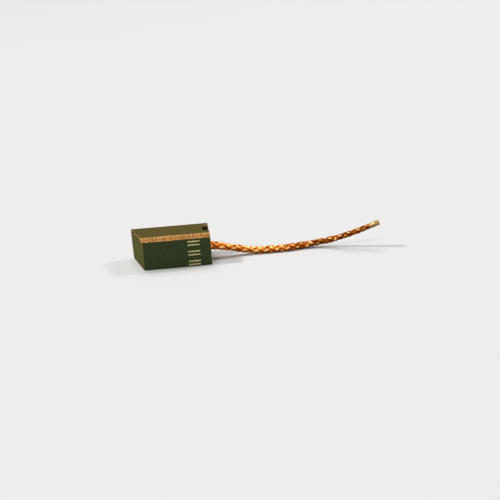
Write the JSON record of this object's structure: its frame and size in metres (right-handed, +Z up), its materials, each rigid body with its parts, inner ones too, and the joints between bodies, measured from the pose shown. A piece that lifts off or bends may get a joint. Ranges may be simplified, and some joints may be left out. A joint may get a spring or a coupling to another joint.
{
  "type": "carbon brush",
  "caption": "Rectangular copper-graphite motor brush with a bevelled running face, a chamfered edge, a spring notch and a braided copper lead with a tinned end.",
  "frame": {"origin": "middle of the face that the block lies on", "axes": "+X along the block from the running face towards the lead, +Y from the chamfered front towards the back, +Z up"},
  "size_m": [0.0645, 0.01, 0.008],
  "materials": {
    "copper_graphite": "matte",
    "copper_powder": "matte",
    "copper_braid": "satin",
    "solder": "satin"
  },
  "bodies": {
    "root": {"brush_block": "copper_graphite", "tamping_plug": "copper_powder", "shunt_lead": "copper_braid", "tinned_end": "solder"}
  },
  "joints": []
}
